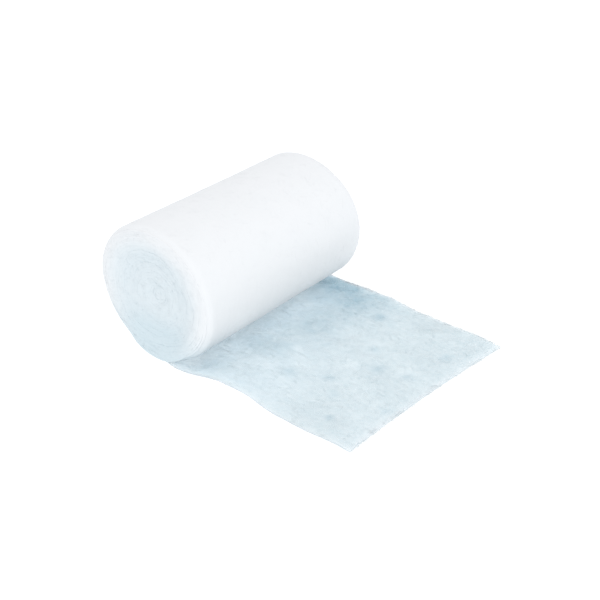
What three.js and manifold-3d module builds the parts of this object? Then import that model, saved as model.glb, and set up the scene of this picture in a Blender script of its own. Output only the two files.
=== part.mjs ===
// A roll of cast padding: one long strip of soft non-woven padding, wound on itself without a core,
// with its outer end unrolled. Millimetres, +Z up. The roll lies along Y, the loose end runs out
// along +X from under it, and both rest on Z = 0. The origin is under the middle of the whole.
// While it is modelled, X = 0 is under the roll's axis and Y = 0 is the strip's near edge.
import * as THREE from "three";
import { mergeVertices } from "three/addons/utils/BufferGeometryUtils.js";
import Module from "manifold-3d";

// The strip
const STRIP_WIDTH = 100;
const LOOSE_THICKNESS = 1.5; // where it lies free
const TURN_PITCH = 1.1; // where the winding presses it
const LOOSE_LENGTH = 102.4; // from under the roll's axis to the cut end, on average

// The roll
const ROLL_BREADTH = 60.6;
const ROLL_HEIGHT = 59;
const ROLL_TAPER = 0.024; // share by which the near end is wider than the middle, and the far end narrower
const WAIST_DEPTH = 0.35; // how much slacker the winding is at the middle of its length
const FLAT_SPOT_DEPTH = 0.35; // how far the roll is pressed flat by its own weight

// The rounded rims, as radial and axial size, and how deep each end face is dished
const NEAR_END = { rimRadial: 4, rimAxial: 2.4, dish: 1 };
const FAR_END = { rimRadial: 4.5, rimAxial: 4.4, dish: 0.8 };

// An end face from the axis to the crest of its rim: share of the crest's radius, and depth below the crest
const END_FACE = [
  { share: 0, depth: 5.2 },
  { share: 0.09, depth: 4.4 },
  { share: 0.17, depth: 3.1 },
  { share: 0.29, depth: 2.3 },
  { share: 0.43, depth: 2.2 },
  { share: 0.57, depth: 2 },
  { share: 0.7, depth: 1.4 },
  { share: 0.83, depth: 0.5 },
  { share: 1, depth: 0 },
];

// The soft unevenness of the winding: waves round the roll and half waves along it
const ROLL_WAVES = [
  { round: 1, along: 0, height: 0.4, phase: -1.9 },
  { round: 2, along: 0, height: 0.6, phase: -3.5 },
  { round: 3, along: 1, height: 0.12, phase: 2.1 },
  { round: 5, along: 2, height: 0.08, phase: 4.4 },
];

// The outermost turn leaves the roll at full width, and its far end is tucked below the roll's surface
const WRAP_TURN = 0.3;
const TUCK_START_TURN = 0.21;
const TUCK_DEPTH = 0.7;
const RIM_BLEND_TURN = 0.1; // over this share of a turn its edges take the shape of the rims

// The loose end: a low arch where it comes off the roll, higher at its near edge, and then it lies flat
const ARCH_START = 9;
const ARCH_TOP = 38;
const ARCH_END = 76;
const ARCH_NEAR_HEIGHT = 2.9;
const ARCH_FAR_HEIGHT = 0.6;
const ARCH_FALL_POWER = 1.6; // how much faster than evenly the arch falls away from the near edge

// How far the near edge of the strip is drawn in: under the roll, over the arch, and past it
const NIP_INSET = 0.8;
const NIP_INSET_END = 14;
const ARCH_INSET = 1;
const FREE_INSET = 1.2;

// The cut end and the edges
const END_SKEW = 2.2; // the far corner reaches this much further than the near one
const END_BOW = 1.8; // how far the cut draws in at its middle
const CORNER_LIFT = 0.4;
const CORNER_REACH = 16;
const CORNER_POWER = 3; // how closely the lift keeps to the corners
const EDGE_ROUNDING = 0.45;
const EDGE_WAVE_POWER = 6; // how closely the waves keep to the edges
const EDGE_WAVES = [
  { length: 47, height: 0.35, phase: 0.8 },
  { length: 21, height: 0.2, phase: 3.9 },
];

// Steps of the mesh
const STEPS_ROUND = 80;
const STEPS_ALONG_ROLL = 12;
const STEPS_RIM = 4;
const STEPS_ALONG_STRIP = 52;
const STEPS_ACROSS_STRIP = 22;
const STEPS_THICKNESS = 2;
const MERGE_DISTANCE = 0.001;
const TRIM_BLOCK = 400; // larger than the whole part

const TAU = 2 * Math.PI;
const wasm = await Module();
wasm.setup();

// 0 at one value, 1 at the other, and a smooth ease between them
function ramp(value, atZero, atOne) {
  const share = Math.min(Math.max((value - atZero) / (atOne - atZero), 0), 1);
  return share * share * (3 - 2 * share);
}

function sumWaves(table, angleOf) {
  return table.reduce((sum, wave) => sum + wave.height * Math.cos(angleOf(wave) + wave.phase), 0);
}

// How far a rounded rim falls away from the roll's side, near either edge of the strip
function rimDrop(y) {
  const dropAt = (end, distance) => {
    const share = Math.min(Math.max(1 - distance / end.rimAxial, 0), 1);
    return end.rimRadial * (1 - Math.sqrt(1 - share * share));
  };
  return dropAt(NEAR_END, y) + dropAt(FAR_END, STRIP_WIDTH - y);
}

// A point of the winding. The turn is 0 under the roll, and grows up its back, over its top and down
// to 1 at the nip, while the surface comes one pitch nearer the axis. The inset goes straight inward.
function windingPoint(turn, y, inset, share = 1) {
  const angle = TAU * turn;
  const along = (Math.PI * y) / STRIP_WIDTH;
  const taper = 1 + ROLL_TAPER * (1 - (2 * y) / STRIP_WIDTH);
  const uneven = sumWaves(ROLL_WAVES, (wave) => wave.round * angle + wave.along * along);
  const slack = ((uneven - WAIST_DEPTH * Math.sin(along)) * (1 - Math.cos(angle))) / 2;
  const outward = TURN_PITCH * (0.5 - turn) + slack - inset;
  const halfBreadth = (ROLL_BREADTH / 2) * taper + outward;
  const halfHeight = (ROLL_HEIGHT / 2) * taper + outward;
  const axisHeight = (ROLL_HEIGHT / 2) * taper + TURN_PITCH / 2 - FLAT_SPOT_DEPTH;
  const x = -Math.sin(angle) * halfBreadth * share;
  return new THREE.Vector3(x, y, axisHeight - Math.cos(angle) * halfHeight * share);
}

// Where the strip is cut
function looseReach(across) {
  const bow = 4 * across * (1 - across) - 0.5;
  return LOOSE_LENGTH + END_SKEW * (across - 0.5) - END_BOW * bow;
}

// Height of the loose end's underside above the floor
function looseLift(x, across) {
  const arch = Math.min(ramp(x, ARCH_START, ARCH_TOP), ramp(x, ARCH_END, ARCH_TOP));
  const nearShare = (1 - across) ** ARCH_FALL_POWER;
  const archHeight = ARCH_FAR_HEIGHT + (ARCH_NEAR_HEIGHT - ARCH_FAR_HEIGHT) * nearShare;
  const corner = ramp(looseReach(across) - x, CORNER_REACH, 0) * Math.abs(2 * across - 1) ** CORNER_POWER;
  return archHeight * arch + CORNER_LIFT * corner;
}

function nearEdgeInset(x, lift) {
  const underRoll = NIP_INSET * ramp(x, NIP_INSET_END, 0);
  const overArch = ARCH_INSET * (lift / ARCH_NEAR_HEIGHT);
  return underRoll + overArch + FREE_INSET * ramp(x, ARCH_START, ARCH_END);
}

// A closed mesh as a solid that can be joined and cut
function solidOf(geometry) {
  geometry.deleteAttribute("normal");
  geometry.deleteAttribute("uv");
  const merged = mergeVertices(geometry, MERGE_DISTANCE);
  return new wasm.Manifold(
    new wasm.Mesh({
      numProp: 3,
      vertProperties: merged.attributes.position.array,
      triVerts: new Uint32Array(merged.index.array),
    }),
  );
}

function movePoints(geometry, place) {
  const points = geometry.attributes.position;
  const point = new THREE.Vector3();
  for (let i = 0; i < points.count; i += 1) {
    place(point.fromBufferAttribute(points, i));
    points.setXYZ(i, point.x, point.y, point.z);
  }
  return geometry;
}

// Half of the roll's profile, from the axis over the rim to the side, with depths measured from the end
function endProfile(end) {
  const crest = ROLL_BREADTH / 2 - end.rimRadial;
  const face = END_FACE.map(({ share, depth }) => new THREE.Vector2(share * crest, depth * end.dish));
  for (let i = 1; i <= STEPS_RIM; i += 1) {
    const angle = ((Math.PI / 2) * i) / STEPS_RIM;
    const x = crest + end.rimRadial * Math.sin(angle);
    face.push(new THREE.Vector2(x, end.rimAxial * (1 - Math.cos(angle))));
  }
  return face;
}

// The wound turns: a lathed form with rounded rims and dished ends, then drawn to the spiral
function woundTurns() {
  const radius = ROLL_BREADTH / 2;
  const side = [];
  for (let i = 1; i < STEPS_ALONG_ROLL; i += 1) {
    const share = i / STEPS_ALONG_ROLL;
    const y = THREE.MathUtils.lerp(NEAR_END.rimAxial, STRIP_WIDTH - FAR_END.rimAxial, share);
    side.push(new THREE.Vector2(radius, y));
  }
  const farEnd = endProfile(FAR_END).map((p) => new THREE.Vector2(p.x, STRIP_WIDTH - p.y));
  const profile = [...endProfile(NEAR_END), ...side, ...farEnd.reverse()];
  const form = new THREE.LatheGeometry(profile, STEPS_ROUND, Math.PI, TAU);
  return movePoints(form, (p) => {
    const share = Math.hypot(p.x, p.z) / radius;
    const turn = (Math.atan2(-p.x, -p.z) / TAU + 1) % 1;
    p.copy(windingPoint(turn, p.y, TURN_PITCH * ramp(turn, WRAP_TURN, 0), share));
  });
}

// The outermost turn where it leaves the roll, and the loose end that it becomes
function outerTurnAndLooseEnd() {
  const wrapLength = WRAP_TURN * Math.PI * ROLL_HEIGHT;
  const sheet = new THREE.BoxGeometry(1, 1, 1, STEPS_ALONG_STRIP, STEPS_ACROSS_STRIP, STEPS_THICKNESS);
  return movePoints(sheet, (p) => {
    const across = p.y + 0.5;
    const upper = p.z + 0.5;
    const rounding = EDGE_ROUNDING * (2 * upper - 1) ** 2;
    const onEdge = Math.abs(p.y) === 0.5 ? rounding : 0;
    const onCut = p.x === 0.5 ? rounding : 0;
    const y = STRIP_WIDTH * across - Math.sign(p.y) * onEdge;
    const x = (wrapLength + looseReach(across)) * (p.x + 0.5) - wrapLength - onCut;
    if (x <= 0) {
      const turn = -x / (Math.PI * ROLL_HEIGHT);
      const rim = rimDrop(y) * ramp(turn, 0, RIM_BLEND_TURN);
      const tuck = TUCK_DEPTH * ramp(turn, TUCK_START_TURN, WRAP_TURN);
      p.copy(windingPoint(turn, y, rim + tuck + upper * LOOSE_THICKNESS));
      p.y += nearEdgeInset(0, 0) * (1 - across);
      return;
    }
    const lift = looseLift(x, across);
    const pressed = FLAT_SPOT_DEPTH * (1 - upper) * ramp(lift, 2 * FLAT_SPOT_DEPTH, 0);
    const edgeWave = sumWaves(EDGE_WAVES, (wave) => (TAU * x) / wave.length) * ramp(x, 0, ARCH_TOP);
    const waved = edgeWave * Math.abs(2 * p.y) ** EDGE_WAVE_POWER;
    const inset = nearEdgeInset(x, lift) * (1 - across);
    p.set(x, y + inset + waved, lift + upper * LOOSE_THICKNESS - pressed);
  });
}

// The turns and the strip's outer end as one solid, trimmed where it is pressed flat on the floor
function paddingRoll() {
  const floorBlock = new THREE.BoxGeometry(TRIM_BLOCK, TRIM_BLOCK, TRIM_BLOCK);
  floorBlock.translate(0, 0, -TRIM_BLOCK / 2);
  const whole = solidOf(woundTurns()).add(solidOf(outerTurnAndLooseEnd()));
  const { vertProperties, triVerts } = whole.subtract(solidOf(floorBlock)).getMesh();
  const geometry = new THREE.BufferGeometry();
  geometry.setAttribute("position", new THREE.BufferAttribute(vertProperties, 3));
  geometry.setIndex(new THREE.BufferAttribute(triVerts, 1));
  geometry.computeBoundingBox();
  const middle = geometry.boundingBox.getCenter(new THREE.Vector3());
  geometry.translate(-middle.x, -middle.y, 0);
  geometry.computeVertexNormals();
  return geometry;
}

const padding = new THREE.Mesh(
  paddingRoll(),
  new THREE.MeshStandardMaterial({ color: 0xf0f5f9, roughness: 0.95, metalness: 0 }),
);
padding.name = "padding_roll";

const part = new THREE.Group();
part.add(padding);
export default part;
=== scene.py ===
"""A roll of cast padding: one strip of soft non-woven padding, wound on itself, its outer end unrolled.

The strip is one closed sheet. It starts in the middle of the roll, is wound outward turn by turn, leaves
the roll from underneath and ends at its cut. While it is made, X = 0 is under the roll's axis, Y = 0 is the
strip's near edge and Z = 0 is the floor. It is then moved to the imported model's place.
"""

import math

import bpy
import numpy as np
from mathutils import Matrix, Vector


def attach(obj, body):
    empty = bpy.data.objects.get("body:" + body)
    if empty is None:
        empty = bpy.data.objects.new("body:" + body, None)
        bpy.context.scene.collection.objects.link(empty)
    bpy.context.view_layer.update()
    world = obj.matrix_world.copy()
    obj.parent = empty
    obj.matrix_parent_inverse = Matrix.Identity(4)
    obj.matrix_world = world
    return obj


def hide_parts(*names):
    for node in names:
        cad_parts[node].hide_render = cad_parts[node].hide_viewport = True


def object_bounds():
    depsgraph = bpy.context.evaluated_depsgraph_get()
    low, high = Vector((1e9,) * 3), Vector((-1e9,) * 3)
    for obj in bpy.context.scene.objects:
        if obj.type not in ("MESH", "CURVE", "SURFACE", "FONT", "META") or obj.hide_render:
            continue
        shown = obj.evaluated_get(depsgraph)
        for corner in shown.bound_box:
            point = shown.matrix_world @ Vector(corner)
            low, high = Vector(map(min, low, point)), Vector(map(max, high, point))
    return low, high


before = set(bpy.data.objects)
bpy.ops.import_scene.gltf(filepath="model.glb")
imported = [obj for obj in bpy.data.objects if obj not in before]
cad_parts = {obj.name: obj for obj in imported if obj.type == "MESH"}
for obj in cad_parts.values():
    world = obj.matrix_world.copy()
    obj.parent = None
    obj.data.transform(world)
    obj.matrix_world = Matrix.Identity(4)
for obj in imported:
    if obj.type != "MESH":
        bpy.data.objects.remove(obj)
cad_low, cad_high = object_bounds()

MM = 0.001
TAU = 2 * math.pi

# The strip
STRIP_WIDTH = 100 * MM
LOOSE_THICKNESS = 1.5 * MM  # where it lies free
WOUND_THICKNESS = 1.09 * MM  # where the winding presses it
PRESSED_THICKNESS = 0.69 * MM  # under the roll's own weight
LOOSE_LENGTH = 102.4 * MM  # from under the roll's axis to the cut end, on average

# The roll
ROLL_BREADTH = 60.6 * MM
ROLL_HEIGHT = 59 * MM
TURN_PITCH = 1.1 * MM
TURNS = 25.6
CORE_RADIUS = 1.15 * MM  # of the innermost whole turn's outer side
CORE_TURNS = 0.9  # of the strip's start, inside that turn, squeezed thinner as it nears the axis
CORE_HOLE = 0.03 * MM  # the radius of what stays open
ROLL_TAPER = 0.024  # share by which the near end is wider than the middle, and the far end narrower
WAIST_DEPTH = 0.35 * MM  # how much the roll narrows at its middle
FLAT_SPOT_DEPTH = 0.35 * MM  # how much its own weight flattens it
OUTER_RADIUS = (ROLL_BREADTH + ROLL_HEIGHT) / 4 + TURN_PITCH / 2

# The rounded rims, as radial and axial size, how deep each end face is dished, and the soft hollows and
# lumps in it, from the roll's axis
NEAR_END = {
    "rim_radial": 6.5 * MM,
    "rim_axial": 4.2 * MM,
    "dish": 1,
    "seed": 0,
    "forms": (
        {"x": -14 * MM, "z": 5 * MM, "radius": 9 * MM, "height": -0.8 * MM},
        {"x": -19 * MM, "z": -10 * MM, "radius": 6 * MM, "height": -0.5 * MM},
        {"x": -9 * MM, "z": -13 * MM, "radius": 7 * MM, "height": 0.7 * MM},
        {"x": 9 * MM, "z": -18 * MM, "radius": 8.5 * MM, "height": -0.8 * MM},
        {"x": 13 * MM, "z": 9 * MM, "radius": 10 * MM, "height": 0.4 * MM},
    ),
}
FAR_END = {
    "rim_radial": 4.5 * MM,
    "rim_axial": 4.4 * MM,
    "dish": 0.8,
    "seed": 40,
    "forms": (
        {"x": 12 * MM, "z": 8 * MM, "radius": 8 * MM, "height": -0.8 * MM},
        {"x": -11 * MM, "z": -9 * MM, "radius": 7 * MM, "height": 0.7 * MM},
        {"x": -14 * MM, "z": 12 * MM, "radius": 6 * MM, "height": -0.6 * MM},
    ),
}
RIM_REACH = 0.92  # how far round a rim the edges of the turns come, as a share
RIM_BLEND_TURN = 0.1  # up to so far from its lowest line, the roll's rims are pressed sharper

# The dish in an end face, as a wide bowl and a narrow one at its middle: share of the crest's radius at its
# brim and at its bottom, and its depth
DISH_BOWLS = (
    {"brim": 1, "bottom": 0.52, "depth": 2.2 * MM},
    {"brim": 0.3, "bottom": 0, "depth": 1.4 * MM},
)

# The soft unevenness of the winding: waves round the roll and half waves along it
ROLL_WAVES = (
    {"round": 1, "along": 0, "height": 0.4 * MM, "phase": -1.9},
    {"round": 2, "along": 0, "height": 0.6 * MM, "phase": -3.5},
    {"round": 3, "along": 1, "height": 0.12 * MM, "phase": 2.1},
    {"round": 5, "along": 2, "height": 0.08 * MM, "phase": 4.4},
)

# The loose end: a low arch where it comes off the roll, higher at its near edge, and then it lies flat
ARCH_START = 9 * MM
ARCH_TOP = 38 * MM
ARCH_END = 76 * MM
ARCH_NEAR_HEIGHT = 2.9 * MM
ARCH_FAR_HEIGHT = 0.6 * MM
ARCH_FALL_POWER = 1.6

# How far the near edge of the strip is drawn in: under the roll, over the arch, and past it
NIP_INSET = 1.3 * MM
NIP_INSET_END = 14 * MM
NIP_INSET_TURN = 0.3
ARCH_INSET = 1 * MM
FREE_INSET = 1.2 * MM

# The cut end and the edges
END_SKEW = 2.2 * MM
END_BOW = 1.8 * MM
CORNER_LIFT = 0.4 * MM
CORNER_REACH = 16 * MM
CORNER_POWER = 3
EDGE_ROUNDING = 0.5 * MM
WOUND_ROUNDING = 0.04 * MM
WOUND_ROUNDING_TURN = 0.12
CUT_FEATHER = {"reach": 3.5 * MM, "thickness": 0.6}
LONG_EDGE_FEATHER = {"reach": 3.5 * MM, "thickness": 0.7}
EDGE_WAVE_POWER = 6
EDGE_WAVES = (
    {"length": 47 * MM, "height": 0.35 * MM, "phase": 0.8},
    {"length": 21 * MM, "height": 0.2 * MM, "phase": 3.9},
)

# The padding's own unevenness: lumps of several sizes, and how far each stands out
CLOUD_WAVES = 28
CLOUD_SHORTEST = 1.3  # of its waves, in sizes of a lump
CLOUD_LONGEST = 3
LUMPS = (
    {"size": 13 * MM, "height": 0.14 * MM, "seed": 11},
    {"size": 5.5 * MM, "height": 0.08 * MM, "seed": 12},
    {"size": 2.4 * MM, "height": 0.035 * MM, "seed": 13},
)
EDGE_WOBBLES = (
    {"size": 22 * MM, "height": 0.03 * MM, "seed": 21},
    {"size": 5 * MM, "height": 0.012 * MM, "seed": 22},
)
FACE_TUFTS = (
    {"size": 7 * MM, "height": 0.2 * MM, "seed": 24},
    {"size": 2.6 * MM, "height": 0.1 * MM, "seed": 25},
)
OUTER_TURN_RELIEF = 0.25  # share of the lumps' height that the winding leaves

# Places in the loose end where the web is thin. The first five are painted shade: a darker band beside the
# roll, darkest at its far end.
THIN_SPOTS_AND_SHADE = (
    {"x": 36 * MM, "y": 89 * MM, "radius": 14 * MM, "strength": 0.65},
    {"x": 35 * MM, "y": 62 * MM, "radius": 13 * MM, "strength": 0.35},
    {"x": 35 * MM, "y": 36 * MM, "radius": 12 * MM, "strength": 0.2},
    {"x": 17 * MM, "y": 96 * MM, "radius": 8 * MM, "strength": 1},
    {"x": 26 * MM, "y": 97.5 * MM, "radius": 6 * MM, "strength": 0.7},
    {"x": 52.7 * MM, "y": 83.3 * MM, "radius": 3 * MM, "strength": 0.34},
    {"x": 76.1 * MM, "y": 51.3 * MM, "radius": 3.6 * MM, "strength": 0.34},
    {"x": 88.5 * MM, "y": 55.1 * MM, "radius": 2.6 * MM, "strength": 0.34},
    {"x": 64.4 * MM, "y": 32.7 * MM, "radius": 2.8 * MM, "strength": 0.34},
    {"x": 73.5 * MM, "y": 25.5 * MM, "radius": 2.4 * MM, "strength": 0.34},
    {"x": 96.5 * MM, "y": 29.6 * MM, "radius": 2.2 * MM, "strength": 0.34},
    {"x": 82.5 * MM, "y": 11.5 * MM, "radius": 2 * MM, "strength": 0.34},
    {"x": 51 * MM, "y": 24 * MM, "radius": 2.6 * MM, "strength": 0.34},
    {"x": 92 * MM, "y": 76 * MM, "radius": 2.6 * MM, "strength": 0.34},
    {"x": 66 * MM, "y": 62 * MM, "radius": 2.2 * MM, "strength": 0.34},
)
THIN_SPOT_DEPTH = 0.25 * MM
SINGLE_LAYER_START = 9 * MM  # from there on, the loose end looks as thin as it is
NIP_REACH = 20 * MM  # up to there it is painted lighter and bluer: painted light beside the roll
NIP_END = 38 * MM  # and from there on it no longer is
ARCH_PAINTED_LIGHT = 0.5  # how much of that painted light the top of its arch gets

# Painted shade: the padding is painted cooler and darker over the end faces, and low down at the near end
FACE_PAINTED_SHADE = 0.58
FACE_START_TURN = 0.5
FACE_FULL_TURN = 12
LOW_PAINTED_SHADE = 1
PAINTED_SHADE_HEIGHT = 26 * MM
PAINTED_SHADE_WIDTH = 45 * MM

# Painted light: the outer turn is painted whiter low down over the loose end, in place of light that
# filters through the padding
LIGHT_START_TURN = 0.73
LIGHT_FULL_TURN = 0.88
LIGHT_START_WIDTH = 4 * MM
LIGHT_FULL_WIDTH = 22 * MM

# How far from the winding's outside the unevenness of its end faces starts and is full, and the shares of a
# crest's radius where the hollows and lumps start and are full
TUFT_START_TURN = 0.4
TUFT_FULL_TURN = 2.5
FORM_START = 1.1
FORM_FULL = 0.8

# From where on the outer turn's lumps fade towards the nip, and up to where the roll's weight presses it
SMOOTH_TURN = 0.9
PRESSED_TURN = 0.05

# Where the loose end's lumps start and are full, and how far inside the cut its rounding ends
RELIEF_START = 6 * MM
RELIEF_FULL = 14 * MM
CUT_BLUNTNESS = 0.02 * EDGE_ROUNDING

# Steps of the mesh
STEPS_PER_TURN = 80
OUTER_TURN_STEPS = 190
LOOSE_STEPS = 124
FINE_STEP = 0.85 * MM
EDGE_STEPS = tuple(d * MM for d in (0.07, 0.25, 0.5, 1.1))  # from an edge inward
CUT_LAST_STEP = 0.01 * MM  # from the cut to the last cross-section
COARSE_EVERY = 28  # hidden faces keep one of this many fine columns
COARSE_FIRST = 5  # and this one first

roll_axis_x = cad_high.x - LOOSE_LENGTH - (END_SKEW + END_BOW) / 2
ORIGIN = np.array([roll_axis_x, cad_low.y, 0])


def ramp(value, at_zero, at_one):
    """0 at one value, 1 at the other, and a smooth ease between them."""
    share = np.clip((value - at_zero) / (at_one - at_zero), 0, 1)
    return share * share * (3 - 2 * share)


def cloud(along, across, size, seed):
    """Soft random unevenness over the strip, seldom past 2 either way, with lumps of about that size."""
    draw = np.random.default_rng(seed)
    total = np.zeros(np.broadcast(along, across).shape)
    for _ in range(CLOUD_WAVES):
        heading, phase = draw.uniform(0, TAU, 2)
        length = size * draw.uniform(CLOUD_SHORTEST, CLOUD_LONGEST)
        total += np.cos(TAU * (along * math.cos(heading) + across * math.sin(heading)) / length + phase)
    return total * math.sqrt(2 / CLOUD_WAVES)


def sum_waves(table, angle_of):
    return sum(wave["height"] * np.cos(angle_of(wave) + wave["phase"]) for wave in table)


def sum_clouds(table, along, across, seed=0):
    return sum(c["height"] * cloud(along, across, c["size"], c["seed"] + seed) for c in table)


def length_at(turn):
    """How far along the strip a place in the winding is from where the roll's axis stands over it, by the
    middle of the strip's thickness."""
    core = CORE_RADIUS - WOUND_THICKNESS / 2
    return -TAU * (core * turn + (OUTER_RADIUS - CORE_RADIUS) * (turn - turn * turn / (2 * TURNS)))


STRIP_LENGTH = LOOSE_LENGTH - length_at(TURNS + CORE_TURNS)


def end_depth(turn, depth, end):
    """How far the edge of a turn, so deep in it, lies below the crest of the rim at one end of the roll."""
    radius = ROLL_BREADTH / 2 * (1 - (turn + depth / TURN_PITCH) / TURNS)
    share = radius / (ROLL_BREADTH / 2 - end["rim_radial"])
    dish = end["dish"] * sum(b["depth"] * ramp(share, b["brim"], b["bottom"]) for b in DISH_BOWLS)
    x = -np.sin(TAU * turn) * radius
    z = -np.cos(TAU * turn) * radius
    for form in end["forms"]:
        apart = np.hypot(x - form["x"], z - form["z"]) / form["radius"]
        dish = dish - form["height"] * np.exp(-(apart**2)) * ramp(share, FORM_START, FORM_FULL)
    wobble = sum_clouds(EDGE_WOBBLES, length_at(turn), 0, end["seed"])
    tufts = sum_clouds(FACE_TUFTS, x, z, end["seed"])
    return dish + (wobble + tufts) * ramp(turn, TUFT_START_TURN, TUFT_FULL_TURN)


def round_rim(turn, depth, distance, end):
    """How far a rounded rim moves a place near the strip's edge: inward, and along the roll."""
    below = TURN_PITCH * np.maximum(turn - 0.5, 0) + depth * np.minimum(turn + 0.5, 1)
    outer = np.clip(1 - below / end["rim_radial"], 0, 1)
    nearness = np.clip(1 - distance / end["rim_axial"], 0, RIM_REACH)
    amount = ramp(np.cos(TAU * turn), 1, math.cos(TAU * RIM_BLEND_TURN))
    drop = end["rim_radial"] * outer * (1 - np.sqrt(1 - nearness**2 / 2)) * amount
    shift = end["rim_axial"] * nearness * (1 - np.sqrt(1 - outer**2 / 2)) * amount
    return drop, shift


def wound_place(turn, across, depth):
    """A place in the winding. The turn is 0 under the roll, and grows up its back, over its top and down
    to 1 at the nip, and so on to the middle. The depth goes from the turn's outer side towards the axis."""
    angle = TAU * turn
    share = across / STRIP_WIDTH
    near = end_depth(turn, depth, NEAR_END) + NIP_INSET * ramp(turn, NIP_INSET_TURN, 0)
    far = end_depth(turn, depth, FAR_END)
    y = near + (STRIP_WIDTH - near - far) * share
    near_drop, near_shift = round_rim(turn, depth, y, NEAR_END)
    far_drop, far_shift = round_rim(turn, depth, STRIP_WIDTH - y, FAR_END)
    drop = near_drop + far_drop
    along = math.pi * share
    taper = 1 + ROLL_TAPER * (1 - 2 * share)
    uneven = sum_waves(ROLL_WAVES, lambda wave: wave["round"] * angle + wave["along"] * along)
    slack = (uneven - WAIST_DEPTH * np.sin(along)) * (1 - np.cos(angle)) / 2
    half_breadth = ROLL_BREADTH / 2 * taper + TURN_PITCH / 2 + slack
    half_height = ROLL_HEIGHT / 2 * taper + TURN_PITCH / 2 + slack
    left = 1 - (turn + depth / TURN_PITCH) / TURNS
    x_radius = CORE_RADIUS + (half_breadth - CORE_RADIUS) * left - drop
    z_radius = CORE_RADIUS + (half_height - CORE_RADIUS) * left - drop
    x = -np.sin(angle) * np.maximum(x_radius, CORE_HOLE)
    axis_height = ROLL_HEIGHT / 2 * taper + TURN_PITCH / 2 - FLAT_SPOT_DEPTH
    z = axis_height - np.cos(angle) * np.maximum(z_radius, CORE_HOLE)
    return np.stack([x, y + near_shift - far_shift, np.maximum(z, 0)], -1)


def loose_reach(share):
    """Where the strip is cut."""
    bow = 4 * share * (1 - share) - 0.5
    return LOOSE_LENGTH + END_SKEW * (share - 0.5) - END_BOW * bow


def loose_lift(x, share):
    """Height of the loose end's underside above the floor."""
    arch = np.minimum(ramp(x, ARCH_START, ARCH_TOP), ramp(x, ARCH_END, ARCH_TOP))
    nearness = np.clip(1 - share, 0, 1)
    arch_height = ARCH_FAR_HEIGHT + (ARCH_NEAR_HEIGHT - ARCH_FAR_HEIGHT) * nearness**ARCH_FALL_POWER
    corner = ramp(loose_reach(share) - x, CORNER_REACH, 0) * np.abs(2 * share - 1) ** CORNER_POWER
    return arch_height * arch + CORNER_LIFT * corner


def loose_place(x, across, up):
    """A place in the loose end. Up goes from its underside."""
    share = across / STRIP_WIDTH
    lift = loose_lift(x, share)
    inset = NIP_INSET * ramp(x, NIP_INSET_END, 0) + ARCH_INSET * lift / ARCH_NEAR_HEIGHT
    inset = inset + FREE_INSET * ramp(x, ARCH_START, ARCH_END)
    edge_wave = sum_waves(EDGE_WAVES, lambda wave: TAU * x / wave["length"]) * ramp(x, 0, ARCH_TOP)
    waved = edge_wave * np.abs(2 * share - 1) ** EDGE_WAVE_POWER
    y = across + inset * (1 - share) + waved
    return np.stack([x, y, lift + up], -1)


def round_edge(inside, rounding):
    """How full the strip's thickness is, so far inside an edge."""
    return np.sqrt(1 - (1 - np.clip(inside / rounding, 0, 1)) ** 2)


def inside_edges(across):
    return np.minimum(across, STRIP_WIDTH - across)


def feathered(inside, feather):
    return feather["thickness"] + (1 - feather["thickness"]) * ramp(inside, 0, feather["reach"])


def across_columns():
    """Places across the strip from its near edge to its far edge, and which of them hidden faces keep."""
    last = EDGE_STEPS[-1]
    steps = round((STRIP_WIDTH - 2 * last) / FINE_STEP)
    middle = np.linspace(last, STRIP_WIDTH - last, steps + 1)[1:-1]
    near = np.array([0, *EDGE_STEPS])
    places = np.concatenate([near, middle, STRIP_WIDTH - near[::-1]])
    edge = len(near)
    inner = range(edge, len(places) - edge)
    kept = [i for i in range(len(places)) if i not in inner or (i - edge) % COARSE_EVERY == COARSE_FIRST]
    return places, np.array(kept)


ACROSS, KEPT_COLUMNS = across_columns()
ALL_COLUMNS = np.arange(len(ACROSS))


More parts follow.
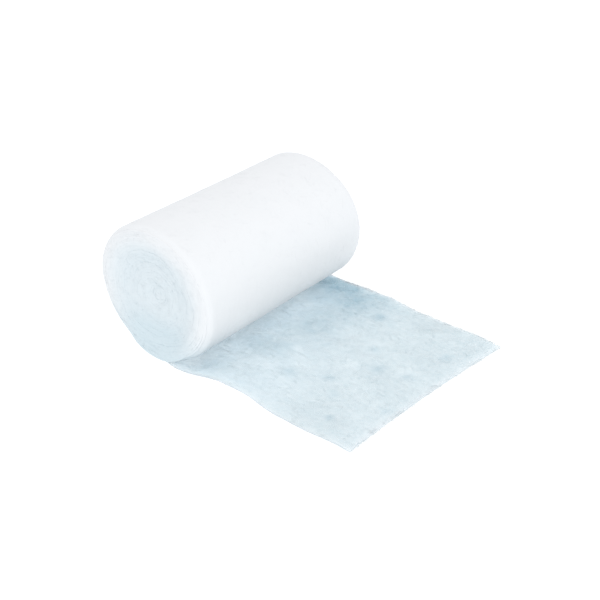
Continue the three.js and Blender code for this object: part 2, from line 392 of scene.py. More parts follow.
class StripMesh:
    """The strip's mesh, made a cross-section at a time. Each section is a ring: the upper side from the
    near edge to the far one, then the under side back. A column's key is the same in every section that has
    it."""

    def __init__(self):
        self.points = []
        self.facts = []
        self.places = []  # each point's section, column, side and turn
        self.faces = []
        self.count = 0
        self.sections = 0
        self.last = None

    def ring_keys(self, upper, under):
        back = under[(under > 0) & (under < len(ACROSS) - 1)][::-1]
        keys = np.concatenate([upper, len(ACROSS) + back])
        columns = np.concatenate([upper, back])
        above = np.arange(len(keys)) < len(upper)
        return keys, columns, above

    def join(self, ids_a, keys_a, ids_b, keys_b, closed=True):
        """Faces between two sections, one for each pair of neighbouring columns that both have."""
        shared = [k for k in keys_a if k in set(keys_b)]
        place_a = [list(keys_a).index(k) for k in shared]
        place_b = [list(keys_b).index(k) for k in shared]
        pairs = len(shared) if closed else len(shared) - 1
        for i in range(pairs):
            j = (i + 1) % len(shared)
            a_end = place_a[j] or len(ids_a)
            b_end = place_b[j] or len(ids_b)
            a = [ids_a[k % len(ids_a)] for k in range(place_a[i], a_end + 1)]
            b = [ids_b[k % len(ids_b)] for k in range(place_b[i], b_end + 1)]
            self.faces.append([int(v) for v in b + a[::-1]])

    def add_sections(self, upper, under, place, rows, in_roll=True):
        """Sections at each of rows. place(rows, columns, above) gives their points and facts."""
        keys, columns, above = self.ring_keys(upper, under)
        points, facts = place(rows[:, None], ACROSS[columns][None, :], above[None, :])
        ids = self.count + np.arange(points.shape[0] * points.shape[1]).reshape(points.shape[:2])
        self.count += ids.size
        self.points.append(points.reshape(-1, 3))
        self.facts.append(facts.reshape(-1, facts.shape[-1]))
        section = self.sections + np.arange(len(rows))[:, None]
        self.sections += len(rows)
        turn = rows[:, None] if in_roll else 0.0
        places = np.stack(np.broadcast_arrays(section, columns, above, turn), -1)
        self.places.append(places.reshape(-1, 4))
        if self.last is not None:
            self.join(*self.last, ids[0], keys)
        ahead = np.roll(ids, -1, axis=1)
        self.faces += np.stack([ids[1:], ahead[1:], ahead[:-1], ids[:-1]], -1).reshape(-1, 4).tolist()
        self.last = (ids[-1], keys)
        return ids, keys

    def cap(self, ids, keys, flip):
        """Closes the strip's end between its upper and its under side."""
        size = len(ACROSS)
        upper = [(k, i) for k, i in zip(keys, ids) if k < size]
        back = [(k - size, i) for k, i in zip(keys[::-1], ids[::-1]) if k >= size]
        under = [upper[0]] + back + [upper[-1]]
        common = {k for k, _ in upper} & {k for k, _ in under}
        upper_place = [n for n, (k, _) in enumerate(upper) if k in common]
        under_place = [n for n, (k, _) in enumerate(under) if k in common]
        for a0, a1, b0, b1 in zip(upper_place, upper_place[1:], under_place, under_place[1:]):
            ring = [i for _, i in upper[a0 : a1 + 1]] + [i for _, i in under[b0 : b1 + 1]][::-1]
            ring = [int(v) for n, v in enumerate(ring) if v != ring[n - 1]]
            if len(ring) > 2:
                self.faces.append(ring[::-1] if flip else ring)


# The map that the strip's finish is baked through, in shares of its size. The first field holds the sides
# that show: the outer turn's outward side and the loose end's upper side. Their other sides lie in the
# second. The inner turns lie in bands, one turn to a band, first their outward sides and then their inward
# ones.
MAP_FIELDS = (
    {"low": 0.01, "high": 0.38},
    {"low": 0.4, "high": 0.54},
    {"low": 0.56, "high": 0.77},
    {"low": 0.78, "high": 0.99},
)
MAP_LEFT, MAP_RIGHT = 0.01, 0.985
MAP_BANDS_A_ROW = 4
MAP_BAND_ROWS = 7
MAP_BAND_FILL = 0.94
MAP_EDGE_ROOM = 1 * MM  # what the map adds to the last half millimetre inside an edge
MAP_CAP_WIDTH = 0.004


def edge_room(inside):
    return MAP_EDGE_ROOM * np.clip(inside / EDGE_ROUNDING, 0, 1)


def bake_places(strip, facts, corners, starts):
    """Where each corner of the strip's faces lies on the bake map. corners gives each corner's point, and
    starts each face's first corner."""
    section, column, above, turn = np.concatenate(strip.places)[corners].T
    along, across = facts[corners, 0], facts[corners, 1]
    counts = np.diff(starts, append=len(corners))

    def over_face(reduce, values):
        return np.repeat(reduce.reduceat(values, starts), counts)

    is_cap = over_face(np.maximum, section) == over_face(np.minimum, section)
    is_upper = over_face(np.minimum, above) == 1
    middle_turn = (over_face(np.maximum, turn) + over_face(np.minimum, turn)) / 2
    is_inner = middle_turn > 1
    field = np.where(is_upper == (middle_turn == 0), 0, 1) + 2 * is_inner

    length = LOOSE_LENGTH + END_SKEW + END_BOW - length_at(1) + MAP_EDGE_ROOM
    cut_room = MAP_EDGE_ROOM - edge_room(loose_reach(across / STRIP_WIDTH) - along)
    far_room = MAP_EDGE_ROOM - edge_room(STRIP_WIDTH - across)
    u_outer = (along - length_at(1) + cut_room) / length
    v_outer = (across + edge_room(across) + far_room) / (STRIP_WIDTH + 2 * MAP_EDGE_ROOM)

    first_turn = np.floor(middle_turn)
    band = first_turn - 1
    rank = np.searchsorted(KEPT_COLUMNS, column) / (len(KEPT_COLUMNS) - 1)
    u_inner = (band % MAP_BANDS_A_ROW + MAP_BAND_FILL * (turn - first_turn)) / MAP_BANDS_A_ROW
    v_inner = (band // MAP_BANDS_A_ROW + MAP_BAND_FILL * rank) / MAP_BAND_ROWS

    low, high = np.array([(f["low"], f["high"]) for f in MAP_FIELDS])[field].T
    u = MAP_LEFT + (MAP_RIGHT - MAP_LEFT) * np.where(is_inner, u_inner, u_outer)
    v = low + (high - low) * np.where(is_inner, v_inner, v_outer)
    return np.stack([u + MAP_CAP_WIDTH * (is_cap & (above == 0)), v], -1)


def thickness_in_roll(turn):
    return PRESSED_THICKNESS + (WOUND_THICKNESS - PRESSED_THICKNESS) * ramp(turn, 0, PRESSED_TURN)


def wound_fullness(turn, across):
    rounding = WOUND_ROUNDING + (EDGE_ROUNDING - WOUND_ROUNDING) * ramp(turn, WOUND_ROUNDING_TURN, 0)
    return round_edge(inside_edges(across), rounding)


def outer_relief(turn, across):
    """How far the outer turn's lumps stand out of the roll."""
    outermost = OUTER_TURN_RELIEF * ramp(turn, 1, SMOOTH_TURN) * ramp(turn, 0, PRESSED_TURN)
    return sum_clouds(LUMPS, length_at(turn), across) * outermost * wound_fullness(turn, across)


def thinness_and_shade(along, across):
    """How thin the web is, and how much painted shade lies beside the roll: 0 where it is even, and seldom
    over 1 in the thin spots and the painted shade.
    """
    apart = [((along - s["x"]) ** 2 + (across - s["y"]) ** 2) / s["radius"] ** 2 for s in THIN_SPOTS_AND_SHADE]
    return sum(s["strength"] * np.exp(-a) for s, a in zip(THIN_SPOTS_AND_SHADE, apart))


def painted_shade(turn, places):
    """How much painted shade the padding gets, cooler and darker: more so over the end faces, and low down
    at the near end.
    """
    low = ramp(places[..., 2], PAINTED_SHADE_HEIGHT, 0) * ramp(places[..., 1], PAINTED_SHADE_WIDTH, 0)
    return FACE_PAINTED_SHADE * ramp(turn, FACE_START_TURN, FACE_FULL_TURN) + LOW_PAINTED_SHADE * low


def describe_places(along, across, single_layer, edge=0.0, painted_light_and_shade=0.0, light=0.0):
    """What the finish needs to know at each place of the strip: how thin it looks, its clouds, its thin
    spots and painted shade spots, how far round an edge it is, for the painted shadow there, its painted
    shade over the winding and painted light beside the roll on the loose end, and how light it looks from
    the painted light low on the outer turn."""
    clouds = sum_clouds(LUMPS, along, across) / LUMPS[0]["height"]
    facts = (along, across, single_layer, clouds, thinness_and_shade(along, across), edge, painted_light_and_shade, light)
    return np.stack(np.broadcast_arrays(*facts), -1)


def describe_wound(turn, across, places):
    """The winding is painted whiter low over the loose end, as painted light, and cooler and darker over
    its end faces and low at the near end, as painted shade.
    """
    # painted light: the outer turn is painted whiter low over the loose end
    light = ramp(turn, LIGHT_START_TURN, LIGHT_FULL_TURN) * (turn <= 1)
    light = light * ramp(places[..., 1], LIGHT_START_WIDTH, LIGHT_FULL_WIDTH)
    return describe_places(length_at(turn), across, 0.0, painted_light_and_shade=painted_shade(turn, places), light=light)


def describe_loose(x, across, edge=0.0):
    """The loose end is painted lighter and bluer near the roll and over its arch, as painted light, and its
    rounded edges are painted dark grey, as painted shadow.
    """
    single = ramp(x, 0, SINGLE_LAYER_START)
    arch_painted_light = ARCH_PAINTED_LIGHT * loose_lift(x, across / STRIP_WIDTH) / ARCH_NEAR_HEIGHT
    nip = np.maximum(ramp(x, NIP_END, NIP_REACH), arch_painted_light)
    return describe_places(x, across, single, edge * single, nip)


def wound_sections(turn, across, above):
    """In the roll, the strip's upper side faces the axis and its under side faces out."""
    side = np.where(above, 1.0, -1.0)
    level = side * wound_fullness(turn, across)
    depth = thickness_in_roll(turn) * (1 + level) / 2 - np.where(above, 0, outer_relief(turn, across))
    places = wound_place(turn, across, depth)
    return places, describe_wound(turn, across, places)


def loose_thickness(x, across):
    room = PRESSED_THICKNESS + x * x / ROLL_HEIGHT
    from_cut = loose_reach(across / STRIP_WIDTH) - x
    long_edge = feathered(inside_edges(across), LONG_EDGE_FEATHER)
    long_edge = 1 - (1 - long_edge) * ramp(x, 0, ARCH_START)
    return np.minimum(LOOSE_THICKNESS, room) * long_edge * feathered(from_cut, CUT_FEATHER)


def loose_relief(x, across):
    """How far the loose end's upper side stands above an even thickness."""
    relief = sum_clouds(LUMPS, x, across) - THIN_SPOT_DEPTH * thinness_and_shade(x, across)
    return relief * ramp(x, RELIEF_START, RELIEF_FULL)


def loose_sections(reach_share, across, above):
    reach = loose_reach(across / STRIP_WIDTH)
    x = reach_share * reach
    side = np.where(above, 1.0, -1.0)
    fullness = round_edge(inside_edges(across), EDGE_ROUNDING)
    fullness = fullness * round_edge(np.maximum(reach - x, CUT_BLUNTNESS), EDGE_ROUNDING)
    up = loose_thickness(x, across) * (1 + side * fullness) / 2
    up = up + np.where(above, loose_relief(x, across) * fullness, 0)
    return loose_place(x, across, up), describe_loose(x, across, 1 - fullness)


def make_mesh(name, points, faces):
    mesh = bpy.data.meshes.new(name)
    mesh.from_pydata(points, [], faces)
    mesh.polygons.foreach_set("use_smooth", [True] * len(mesh.polygons))
    mesh.update()
    obj = bpy.data.objects.new(name, mesh)
    bpy.context.scene.collection.objects.link(obj)
    return obj


def add_fact(mesh, name, values):
    mesh.attributes.new(name, "FLOAT", "POINT").data.foreach_set("value", values.astype(np.float32).ravel())


def add_bake_map(mesh, places):
    mesh.uv_layers.new(name="OFBake").data.foreach_set("uv", places.astype(np.float32).ravel())


SHADER_FACTS = ("single_layer", "cloudiness", "thin_spot_and_shade", "edge", "painted_light_and_shade", "light")


def add_facts(mesh, facts):
    """Stores what the finish reads: all the facts but how far along and across a place is."""
    for name, values in zip(SHADER_FACTS, np.moveaxis(facts[..., 2:], -1, 0)):
        add_fact(mesh, name, values)


def sharpen_grooves(mesh, places):
    """Marks the edges along the grooves between the turns as sharp, so that the end faces shade evenly."""
    pairs = np.empty(2 * len(mesh.edges), np.int32)
    mesh.edges.foreach_get("vertices", pairs)
    one, other = places[pairs.reshape(-1, 2)].transpose(1, 0, 2)
    column, above = one[:, 1], one[:, 2]
    turn = np.minimum(one[:, 3], other[:, 3])
    along = (one[:, 0] != other[:, 0]) & (column == other[:, 1]) & (above == other[:, 2])
    beside_groove = (column == 1) | (column == len(ACROSS) - 2)
    sharp = along & beside_groove & (turn > 0) & ((turn >= 1) | (above == 1))
    mesh.attributes.new("sharp_edge", "BOOLEAN", "EDGE").data.foreach_set("value", sharp)


def padding_strip():
    strip = StripMesh()
    inner_turns = TURNS + CORE_TURNS - 1
    inner_rows = np.linspace(1 + inner_turns, 1, round(inner_turns * STEPS_PER_TURN) + 1)
    ids, keys = strip.add_sections(KEPT_COLUMNS, KEPT_COLUMNS, wound_sections, inner_rows)
    strip.cap(ids[0], keys, flip=False)
    outer_rows = np.linspace(1, 0, OUTER_TURN_STEPS + 1)[1:-1]
    strip.add_sections(KEPT_COLUMNS, ALL_COLUMNS, wound_sections, outer_rows)
    cut_rows = 1 - np.array([*EDGE_STEPS[::-1], CUT_LAST_STEP]) / LOOSE_LENGTH
    loose_rows = np.concatenate([np.linspace(0, cut_rows[0], LOOSE_STEPS)[:-1], cut_rows])
    wound_faces = len(strip.faces)
    ids, keys = strip.add_sections(ALL_COLUMNS, KEPT_COLUMNS, loose_sections, loose_rows, in_roll=False)
    strip.cap(ids[-1], keys, flip=True)
    points = np.concatenate(strip.points) + ORIGIN
    facts = np.concatenate(strip.facts)
    obj = make_mesh("padding_strip", points, strip.faces)
    add_facts(obj.data, facts)
    for finish in (WOUND_FINISH, LOOSE_FINISH):
        obj.data.materials.append(padding_finish(finish))
    is_loose = np.arange(len(strip.faces)) >= wound_faces
    obj.data.polygons.foreach_set("material_index", is_loose.astype(np.int32))
    sharpen_grooves(obj.data, np.concatenate(strip.places))
    corners = np.array([v for face in strip.faces for v in face])
    starts = np.cumsum([0] + [len(face) for face in strip.faces[:-1]])
    add_bake_map(obj.data, bake_places(strip, facts, corners, starts))
    return obj


FIBRE_TIP = 0.4  # share of its radius that a fibre keeps at its ends
FIBRE_STEADINESS = 0.01  # share of a fibre's whole course in its direction at each point
FIBRE_SINK = 0.04 * MM  # how far the ends of a lying fibre are sunk in the padding
ROLL_FIBRES = {
    "count": 1500,
    "radius": 0.015 * MM,
    "shortest": 3 * MM,
    "longest": 9 * MM,
    "spread": 0.7,
    "rise": 0.03 * MM,
    "seed": 31,
}
LOOSE_FIBRES = {
    "count": 4500,
    "radius": 0.022 * MM,
    "shortest": 3 * MM,
    "longest": 8 * MM,
    "spread": 0.8,
    "rise": 0.04 * MM,
    "seed": 32,
}
FACE_FIBRES = {
    "count": 1800,
    "radius": 0.015 * MM,
    "shortest": 1.6 * MM,
    "longest": 5 * MM,
    "spread": 0.8,
    "rise": 0.2 * MM,
    "seed": 33,
}
CUT_FIBRES = {
    "count": 1300,
    "radius": 0.026 * MM,
    "shortest": 1.5 * MM,
    "longest": 3.5 * MM,
    "spread": 0.7,
    "rise": 0.05 * MM,
    "seed": 35,
}
SIDE_FIBRES = CUT_FIBRES | {"count": 900, "longest": 4 * MM, "spread": 0.6, "seed": 36}
FIBRE_POINTS = 4
FIBRE_BEND = 0.35  # as a share of a fibre's length, as is the wiggle of its points
FIBRE_WIGGLE = 0.03
FREE_TIPS = 0.4  # share of the end faces' fibres with one tip free
EDGE_FIBRE_PAINTED_SHADOW = 0.5  # how much of the edges' painted shadow grey the fibres at the loose end's edges get
FIBRE_EDGE_ROOM = 0.3 * MM  # how far lying fibres stay inside the strip's long edges
FACE_EDGE_ROOM = 0.1 * MM  # how far inside the strip's edge the end faces' fibres touch it
FIBRE_LEVELS = (0.3, 1)  # where in the loose end's thickness the fibres of its edges start

# Where the fibres on the outer turn lie, as shares of it, and where those on the loose end do
ROLL_FIBRE_SPAN = (0.03, 0.96)
ROLL_FIBRE_LIMITS = (0.005, 0.99)
LOOSE_FIBRE_START = 14 * MM
LOOSE_FIBRE_LIMIT = 13 * MM
CUT_ROOM = 0.2 * MM
FACE_MARGIN = 0.4 * MM
FACE_LIMITS = (0.1 * MM, OUTER_RADIUS - 0.3 * MM)
FACE_NEAREST = 0.002

# The fibres that stand out of the edges: how far inside they lie, how far out they reach, and over what
# length they sink past the cut
CUT_FIBRE_MARGIN = 0.4 * MM
CUT_FIBRE_INSIDE = 1.6 * MM
CUT_FIBRE_OUTSIDE = 0.9 * MM
CUT_FIBRE_FALL = 1.5 * MM
SIDE_FIBRE_START = 6 * MM
SIDE_FIBRE_END = LOOSE_LENGTH - 1 * MM
SIDE_FIBRE_INSIDE = 1.4 * MM
SIDE_FIBRE_OUTSIDE = 0.7 * MM
WITHIN_EDGE = 0.05 * MM

# A fibre's cell in the bake map, in shares of it: its walls, and the triangle of an end
CELL_LEFT = 0.05
CELL_WIDTH = 0.8
CELL_LOW = 0.15
CELL_HEIGHT = 0.7
END_TRIANGLE = ((0.05, 0.02), (0.85, 0.02), (0.45, 0.12))
TIP_RISE = 0.85


class Fibres:
    """Many short fibres, each a bent path over the padding. A path has FIBRE_POINTS points."""

    def __init__(self, kind):
        self.kind = kind
        self.draw = np.random.default_rng(kind["seed"])
        self.paths = []
        self.facts = []

    def courses(self, along, across, heading):
        """Where the points of bent paths are along and across, round the given middles and headings."""
        draw = self.draw
        count = self.kind["count"]
        share = np.linspace(-0.5, 0.5, FIBRE_POINTS)[None, :]
        length = draw.uniform(self.kind["shortest"], self.kind["longest"], (count, 1))
        bend = draw.normal(0, FIBRE_BEND, (count, 1)) * (0.5**2 - share**2)
        wiggle = draw.normal(0, FIBRE_WIGGLE, (count, FIBRE_POINTS))
        forward = length * share
        sideways = length * (bend + wiggle)
        cos, sin = np.cos(heading)[:, None], np.sin(heading)[:, None]
        along = along[:, None] + forward * cos - sideways * sin
        across = across[:, None] + forward * sin + sideways * cos
        return along, across

    def rises(self, free_tips):
        """How high the points stand over the padding: arches sunk at both ends, or with one tip free."""
        share = np.linspace(-0.5, 0.5, FIBRE_POINTS)[None, :]
        height = np.abs(self.draw.normal(0, self.kind["rise"], (self.kind["count"], 1))) + FIBRE_SINK
        profile = np.where(free_tips[:, None], share + 0.5, 1 - 4 * share**2)
        return height * profile - FIBRE_SINK

    def headings(self, middle=0.0):
        return middle + self.draw.normal(0, self.kind["spread"], self.kind["count"])

    def add(self, paths, facts):
        self.paths.append(paths)
        self.facts.append(facts)

    def make(self, name):
        """Closed three-sided tubes round all the paths, joined in one mesh."""
        paths = np.concatenate(self.paths)
        facts = np.concatenate(self.facts)
        count, points = paths.shape[:2]
        chord = paths[:, -1] - paths[:, 0]
        tangent = np.gradient(paths, axis=1) + FIBRE_STEADINESS * chord[:, None]
        tangent /= np.linalg.norm(tangent, axis=2, keepdims=True)
        helper = np.eye(3)[np.abs(chord).argmin(1)][:, None, :]
        side = np.cross(tangent, helper)
        side /= np.linalg.norm(side, axis=2, keepdims=True)
        other = np.cross(tangent, side)
        taper = np.full(points, self.kind["radius"])
        taper[[0, -1]] *= FIBRE_TIP
        turn = TAU * np.arange(3) / 3
        round_path = np.cos(turn)[:, None] * side[:, :, None, :]
        round_path = round_path + np.sin(turn)[:, None] * other[:, :, None, :]
        corners = paths[:, :, None, :] + taper[None, :, None, None] * round_path
        ids = np.arange(count * points * 3).reshape(count, points, 3)
        ahead = np.roll(ids, -1, axis=2)
        walls = np.stack([ids[:, :-1], ahead[:, :-1], ahead[:, 1:], ids[:, 1:]], -1).reshape(-1, 4)
        ends = np.concatenate([ids[:, 0, ::-1], ids[:, -1]])
        obj = make_mesh(name, corners.reshape(-1, 3) + ORIGIN, walls.tolist() + ends.tolist())
        add_facts(obj.data, np.repeat(facts[:, :, None, :], 3, axis=2).reshape(-1, facts.shape[-1]))
        tones = np.repeat(self.draw.uniform(0, 1, count), points * 3)
        add_fact(obj.data, "fibre_tone", tones)
        self.map_for_bake(obj.data, count, points)
        return obj

    def map_for_bake(self, mesh, count, points):
        """Gives every fibre a cell of its own in a square grid, its walls side by side and its ends beside
        them."""
        grid = math.ceil(math.sqrt(count))
        cells = np.stack([np.arange(count) % grid, np.arange(count) // grid], -1) / grid
        wall = np.arange(3)
        level = np.arange(points - 1)
        width, height = CELL_WIDTH / 3, CELL_HEIGHT / (points - 1)
        left = np.broadcast_to(CELL_LEFT + width * wall[None, :], (points - 1, 3))
        low = np.broadcast_to(CELL_LOW + height * level[:, None], (points - 1, 3))
        u = np.stack([left, left + width, left + width, left], -1)
        v = np.stack([low, low, low + height, low + height], -1)
        walls = np.stack([u, v], -1).reshape(1, -1, 2) / grid + cells[:, None, :]
        triangle = np.array(END_TRIANGLE)
        starts = triangle[None] / grid + cells[:, None, :]
        tips = (triangle + np.array([0, TIP_RISE]))[None] / grid + cells[:, None, :]
        add_bake_map(mesh, np.concatenate([part.reshape(-1, 2) for part in (walls, starts, tips)]))


def clip_across(across):
    return np.clip(across, FIBRE_EDGE_ROOM, STRIP_WIDTH - FIBRE_EDGE_ROOM)


def roll_fibres():
    """Fibres that lie on the outer turn, mostly along the strip."""
    fibres = Fibres(ROLL_FIBRES)
    draw = fibres.draw
    outer_length = TAU * OUTER_RADIUS
    along = draw.uniform(*ROLL_FIBRE_SPAN, ROLL_FIBRES["count"]) * outer_length
    across = draw.uniform(0, STRIP_WIDTH, ROLL_FIBRES["count"])
    along, across = fibres.courses(along, across, fibres.headings())
    across = clip_across(across)
    turn = np.clip(along / outer_length, *ROLL_FIBRE_LIMITS)
    height = fibres.rises(np.zeros(ROLL_FIBRES["count"], bool))
    places = wound_place(turn, across, -outer_relief(turn, across) - height)
    fibres.add(places, describe_wound(turn, across, places))
    return fibres.make("roll_fibres")


def loose_end_fibres():
    """Fibres that lie on the loose end."""
    fibres = Fibres(LOOSE_FIBRES)
    draw = fibres.draw
    along = draw.uniform(LOOSE_FIBRE_START, LOOSE_LENGTH, LOOSE_FIBRES["count"])
    across = draw.uniform(0, STRIP_WIDTH, LOOSE_FIBRES["count"])
    along, across = fibres.courses(along, across, fibres.headings())
    across = clip_across(across)
    reach = loose_reach(across / STRIP_WIDTH)
    along = np.clip(along, LOOSE_FIBRE_LIMIT, reach - CUT_ROOM)
    top = loose_thickness(along, across) + loose_relief(along, across)
    height = fibres.rises(np.zeros(LOOSE_FIBRES["count"], bool))
    places = loose_place(along, across, top + height)
    fibres.add(places, describe_loose(along, across))
    return fibres.make("loose_end_fibres")


def face_places(x, z, end_is_near, height):
    """Places over the edges of the turns, from where they are seen along the roll's axis."""
    radius = np.clip(np.hypot(x, z), *FACE_LIMITS)
    angle_turn = np.arctan2(-x, -z) / TAU % 1
    smooth_turn = TURNS * (1 - (radius - CORE_RADIUS) / (OUTER_RADIUS - CORE_RADIUS))
    turn = angle_turn + np.maximum(np.floor(smooth_turn - angle_turn), 0)
    depth = np.clip((smooth_turn - turn) * TURN_PITCH, 0, TURN_PITCH)
    across = np.full(x.shape, FACE_EDGE_ROOM if end_is_near else STRIP_WIDTH - FACE_EDGE_ROOM)
    places = wound_place(turn, across, depth)
    y = places[..., 1]
    smoothed = (np.roll(y, 1, axis=1) + 2 * y + np.roll(y, -1, axis=1)) / 4
    y[:, 1:-1] = smoothed[:, 1:-1]
    places[..., 1] = y + np.where(end_is_near, -1, 1) * height
    places[..., 2] = np.maximum(places[..., 2], FACE_FIBRES["radius"])
    return places, describe_wound(turn, across, places)


def face_fibres():
    """Short fibres that lie over the edges of the turns at both ends, and partly stand out."""
    fibres = Fibres(FACE_FIBRES)
    for end_is_near in (True, False):
        draw = fibres.draw
        count = FACE_FIBRES["count"]
        radius = (OUTER_RADIUS - FACE_MARGIN) * np.sqrt(draw.uniform(FACE_NEAREST, 1, count))
        angle = draw.uniform(0, TAU, count)
        heading = fibres.headings(angle + TAU / 4)
        x, z = fibres.courses(radius * np.cos(angle), radius * np.sin(angle), heading)
        height = fibres.rises(draw.uniform(0, 1, count) < FREE_TIPS)
        fibres.add(*face_places(x, z, end_is_near, height))
    return fibres.make("face_fibres")


def add_at_edge(fibres, along, across, level):
    """Adds fibres at the loose end's edges, so high over its underside."""
    level = np.maximum(level, fibres.kind["radius"])
    fibres.add(loose_place(along, across, level), describe_loose(along, across, EDGE_FIBRE_PAINTED_SHADOW))


def edge_fibres():
    """Fibre ends that stand out of the cut end and of the loose end's long edges."""
    cut = Fibres(CUT_FIBRES)
    count = CUT_FIBRES["count"]
    across = cut.draw.uniform(CUT_FIBRE_MARGIN, STRIP_WIDTH - CUT_FIBRE_MARGIN, count)
    inside = cut.draw.uniform(0, CUT_FIBRE_INSIDE, count)
    along, across = cut.courses(loose_reach(across / STRIP_WIDTH) - inside, across, cut.headings())
    reach = loose_reach(across / STRIP_WIDTH)
    along = np.minimum(along, reach + CUT_FIBRE_OUTSIDE)
    within = np.minimum(along, reach - WITHIN_EDGE)
    level = cut.draw.uniform(*FIBRE_LEVELS, (count, 1)) * loose_thickness(within, across)
    level = level * ramp(along, reach + CUT_FIBRE_FALL, reach) + cut.rises(np.ones(count, bool))
    add_at_edge(cut, along, across, level)
    for near in (True, False):
        sides = Fibres(SIDE_FIBRES | {"seed": SIDE_FIBRES["seed"] + near})
        count = SIDE_FIBRES["count"]
        along = sides.draw.uniform(SIDE_FIBRE_START, SIDE_FIBRE_END, count)
        inside = sides.draw.uniform(0, SIDE_FIBRE_INSIDE, count)
        along, inside = sides.courses(along, inside, sides.headings())
        inside = np.maximum(inside, -SIDE_FIBRE_OUTSIDE)
        across = inside if near else STRIP_WIDTH - inside
        within = np.clip(across, WITHIN_EDGE, STRIP_WIDTH - WITHIN_EDGE)
        level = sides.draw.uniform(*FIBRE_LEVELS, (count, 1)) * loose_thickness(along, within)
        level = level + sides.rises(np.zeros(count, bool))
        add_at_edge(cut, along, across, level)
    return cut.make("edge_fibres")


class Wire:
    """A socket's value in shader maths. An expression on wires adds its Math nodes."""

    def __init__(self, finish, socket):
        self.finish = finish
        self.socket = socket

    def maths(self, operation, *values):
        return self.finish.node("ShaderNodeMath", {"operation": operation}, dict(enumerate(values)))

    def __add__(self, other):
        return self.maths("ADD", self, other)

    def __sub__(self, other):
        return self.maths("SUBTRACT", self, other)

    def __rsub__(self, other):
        return self.maths("SUBTRACT", other, self)

    def __mul__(self, other):
        return self.maths("MULTIPLY", self, other)

    __radd__ = __add__
    __rmul__ = __mul__


# A Mix node's sockets for colours
MIX_FACTOR, MIX_FIRST, MIX_SECOND = 0, 6, 7
MIX_RESULT = 2


class Finish:
    """A material, and the one way in which its nodes are added."""

    def __init__(self, name):
        self.material = bpy.data.materials.new(name)
        self.material.use_nodes = True
        self.tree = self.material.node_tree
        self.shader = self.tree.nodes["Principled BSDF"]

    def node(self, kind, settings=None, sockets=None, output=0):
        """Adds a node: its settings first, then its sockets' values or links. Gives one of its outputs."""
        made = self.tree.nodes.new(kind)
        for name, value in (settings or {}).items():
            setattr(made, name, value)
        for name, value in (sockets or {}).items():
            self.plug(made.inputs[name], value)
        return Wire(self, made.outputs[output])

    def plug(self, socket, value):
        if isinstance(value, Wire):
            self.tree.links.new(value.socket, socket)
        else:
            socket.default_value = value

    def surface(self, values):
        """Sets sockets of the shader to values or links."""
        for name, value in values.items():
            self.plug(self.shader.inputs[name], value)

    def blend(self, share, first, second):
        sockets = {MIX_FACTOR: share, MIX_FIRST: first, MIX_SECOND: second}
        return self.node("ShaderNodeMix", {"data_type": "RGBA"}, sockets, output=MIX_RESULT)

    def fact(self, name):
        return self.node("ShaderNodeAttribute", {"attribute_name": name}, output="Fac")

    def noise(self, place, stretch, scale, detail):
        """Noise over the strip, with its grain drawn out where stretch is under 1."""
        stretched = self.node("ShaderNodeVectorMath", {"operation": "MULTIPLY"}, {0: place, 1: stretch})
        return self.node("ShaderNodeTexNoise", {}, {"Vector": stretched, "Scale": scale, "Detail": detail})


# Base colours, in linear values
DENSE_WHITE = (0.785, 0.81, 0.828, 1)
DENSE_SHADE = (0.76, 0.792, 0.811, 1)
THIN_BLUE = (0.348, 0.434, 0.47, 1)
# painted light: the web's lighter, bluer colour beside the roll and over its arch
NIP_PAINTED_LIGHT_BLUE = (0.42, 0.535, 0.61, 1)
# painted shade: the cooler, darker colour of the end faces and of the near end's low part
PAINTED_SHADE_BLUE = (0.6, 0.7, 0.745, 1)
# painted light: the whiter colour of the outer turn low over the loose end
PAINTED_LIGHT_WHITE = (0.94, 0.96, 0.97, 1)
# the thin spots' colour, also used for the painted shade beside the roll
THIN_SPOT_AND_SHADE_BLUE = (0.13, 0.23, 0.29, 1)
FIBRE_BLUE = (0.6, 0.72, 0.77, 1)  # of the fibres on the loose end, through which no light comes
# for the fibres too: thin spots and the painted shade beside the roll
FIBRE_SPOT_AND_SHADE_BLUE = (0.38, 0.52, 0.6, 1)
# painted shadow: the dark grey of the loose end's rounded edges
EDGE_PAINTED_SHADOW = (0.24, 0.3, 0.34, 1)
WOUND_FINISH = {"name": "wound_padding", "scatter": 0.0}
LOOSE_FINISH = {"name": "loose_padding", "scatter": 1.0}
SCATTER_SCALE = 14 * MM

# The mottling of the colour: how much of it comes from blots, streaks and the strip's own clouds
BLOTS = {"stretch": (1, 1.2, 1), "scale": 260, "detail": 3}
STREAKS = {"stretch": (0.25, 1, 1), "scale": 900, "detail": 2}
BLOT_SHARE = 0.65
STREAK_SHARE = 0.2
CLOUD_SHARE = 0.1

# How the colours mix: in even padding, and how much the mottling changes it
DENSE_MIX = {"even": 0.35, "uneven": 0.4}
WEB_MIX = {"even": 0.9, "uneven": 0.2}
SPOT_UNEVENNESS = 0.7
WEB_BLOTS = 0.15
FIBRE_LIGHTNESS = 0.3

# The felt's fine relief, along the strip and across it
FELT_ALONG = {"stretch": (0.3, 1, 1), "scale": 1500, "detail": 3}
FELT_ACROSS = {"stretch": (1, 0.35, 1), "scale": 1300, "detail": 3}
FELT_DEPTH = 0.09 * MM
FELT_STRENGTH = 0.45


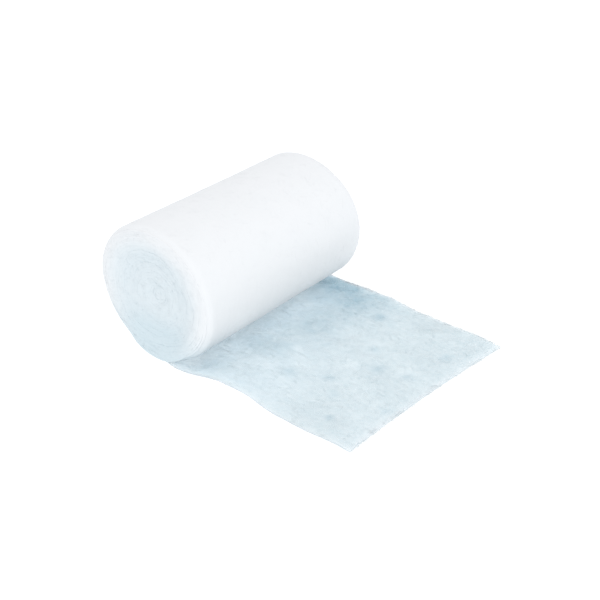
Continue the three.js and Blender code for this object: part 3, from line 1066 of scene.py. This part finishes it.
def padding_colour(finish, place, thin, nip, thinnest_and_shaded):
    """Soft white, bluer where only one thin layer lies over the floor, and cloudy as its fibres gather.
    Painted shade makes it cooler and darker over the end faces, low at the near end and in a band beside
    the roll;
    painted light makes it whiter low on the outer turn and lighter and bluer beside the roll and over the
    arch; painted shadow makes the loose end's edges dark grey. thin, nip and thinnest are that layer's
    colours: far from the roll, near it, where the painted light lies, and in thin spots and the painted
    shade."""
    single = finish.fact("single_layer")
    clouds = finish.fact("cloudiness")
    spots = finish.fact("thin_spot_and_shade")
    blots = finish.noise(place, **BLOTS) - 0.5
    streaks = finish.noise(place, **STREAKS) - 0.5
    uneven = blots * BLOT_SHARE + streaks * STREAK_SHARE - clouds * CLOUD_SHARE
    painted_light_and_shade = finish.fact("painted_light_and_shade")
    dense = finish.blend(DENSE_MIX["even"] + uneven * DENSE_MIX["uneven"], DENSE_WHITE, DENSE_SHADE)
    # painted shade over the end faces and low at the near end; on the loose end the same fact carries
    # painted light
    dense = finish.blend(painted_light_and_shade, dense, PAINTED_SHADE_BLUE)
    # painted light: whiter low on the outer turn over the loose end
    dense = finish.blend(finish.fact("light"), dense, PAINTED_LIGHT_WHITE)
    share = single * (WEB_MIX["even"] + uneven * WEB_MIX["uneven"])
    # painted light: the web is lighter and bluer beside the roll and over its arch
    web = finish.blend(share, dense, finish.blend(painted_light_and_shade, thin, nip))
    # thin spots, and painted shade in a band beside the roll
    share = single * (spots * (1 + blots * SPOT_UNEVENNESS) + blots * WEB_BLOTS)
    web = finish.blend(share, web, thinnest_and_shaded)
    # painted shadow: dark grey on the loose end's rounded edges
    return finish.blend(finish.fact("edge"), web, EDGE_PAINTED_SHADOW)


def padding_finish(kind):
    """Non-woven padding: a soft felt of fine crossed fibres. The single layer of the loose end lets light
    through."""
    finish = Finish(kind["name"])
    place = finish.node("ShaderNodeTexCoord", output="Object")
    felt = finish.noise(place, **FELT_ALONG) + finish.noise(place, **FELT_ACROSS)
    relief = {"Height": felt, "Distance": FELT_DEPTH, "Strength": FELT_STRENGTH}
    finish.surface(
        {
            "Base Color": padding_colour(finish, place, THIN_BLUE, NIP_PAINTED_LIGHT_BLUE, THIN_SPOT_AND_SHADE_BLUE),
            "Roughness": 0.95,
            "Specular IOR Level": 0.1,
            "Subsurface Weight": kind["scatter"],
            "Subsurface Radius": (1, 1, 1),
            "Subsurface Scale": SCATTER_SCALE,
            "Normal": finish.node("ShaderNodeBump", {}, relief),
        }
    )
    return finish.material


def fibre_finish():
    """Single fibres, of the padding's colour under them and a little lighter."""
    finish = Finish("fine_fibre")
    place = finish.node("ShaderNodeTexCoord", output="Object")
    lightness = finish.fact("fibre_tone") * FIBRE_LIGHTNESS
    padding = padding_colour(finish, place, FIBRE_BLUE, FIBRE_BLUE, FIBRE_SPOT_AND_SHADE_BLUE)
    finish.surface(
        {
            "Base Color": finish.blend(lightness, padding, DENSE_WHITE),
            "Roughness": 0.7,
            "Specular IOR Level": 0.2,
        }
    )
    return finish.material


CAMERA_PLACE = np.array([405.097, -383.978, 363.893]) * MM
CAMERA_AZIMUTH = 40.391
CAMERA_ELEVATION = 31.131
CAMERA_LENS = 96
CAMERA_SENSOR = 36


def towards(azimuth, elevation):
    """The way from the object to a camera or light. Azimuth 0 is in front of the near end face, and 90 is
    on the loose end's side."""
    azimuth, elevation = math.radians(azimuth), math.radians(elevation)
    flat = math.cos(elevation)
    return Vector((math.sin(azimuth) * flat, -math.cos(azimuth) * flat, math.sin(elevation)))


def aim(name, data, place, back):
    """Puts a camera or light at a place, with its back that way."""
    obj = bpy.data.objects.new(name, data)
    obj.location = place
    obj.rotation_mode = "QUATERNION"
    obj.rotation_quaternion = (-back).to_track_quat("-Z", "Y")
    bpy.context.scene.collection.objects.link(obj)
    return obj


def set_camera():
    data = bpy.data.cameras.new("camera")
    data.lens = CAMERA_LENS
    data.sensor_width = CAMERA_SENSOR
    back = towards(CAMERA_AZIMUTH, CAMERA_ELEVATION)
    bpy.context.scene.camera = aim("camera", data, Vector(CAMERA_PLACE + ORIGIN), back)


SKY_TINT = (1, 0.985, 0.99, 1)
WORLD_STRENGTH = 1.08
FLOOR_SIZE = 6.0
FLOOR_DROP = 0.02 * MM
FLOOR_WHITE = (0.1, 0.1, 0.1, 1)
FLOOR_TINT = (1, 1.02, 1.04, 1)
FLOOR_GLOW = 1.04  # the floor is a lit white panel, so that it has no dark shadow
SIDE_LIGHT = {
    "name": "side_light",
    "azimuth": 60,
    "elevation": 30,
    "distance": 1.5,
    "size": 1.2,
    "power": 3.3,
}


def set_stage():
    scene = bpy.context.scene
    scene.view_settings.view_transform = "Standard"
    world = bpy.data.worlds.new("studio")
    world.use_nodes = True
    sky = world.node_tree.nodes["Background"].inputs
    sky["Color"].default_value = SKY_TINT
    sky["Strength"].default_value = WORLD_STRENGTH
    scene.world = world
    half = FLOOR_SIZE / 2
    corners = [(x, y, -FLOOR_DROP) for x, y in ((-half, -half), (half, -half), (half, half), (-half, half))]
    floor = make_mesh("floor", corners, [(0, 1, 2, 3)])
    finish = Finish("floor_panel")
    finish.surface(
        {
            "Base Color": FLOOR_WHITE,
            "Roughness": 1.0,
            "Specular IOR Level": 0.0,
            "Emission Color": FLOOR_TINT,
            "Emission Strength": FLOOR_GLOW,
        }
    )
    floor.data.materials.append(finish.material)


def area_light(name, azimuth, elevation, distance, size, power):
    """A round soft light that shines on the object."""
    data = bpy.data.lights.new(name, "AREA")
    data.shape = "DISK"
    data.size = size
    data.energy = power
    back = towards(azimuth, elevation)
    aim(name, data, back * distance, back)


set_camera()
set_stage()
area_light(**SIDE_LIGHT)

strip = padding_strip()
fibre_pieces = [roll_fibres(), loose_end_fibres(), face_fibres(), edge_fibres()]
fibre_material = fibre_finish()
for piece in fibre_pieces:
    piece.data.materials.append(fibre_material)
for piece in [strip, *fibre_pieces]:
    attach(piece, "root")
    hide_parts("padding_roll")
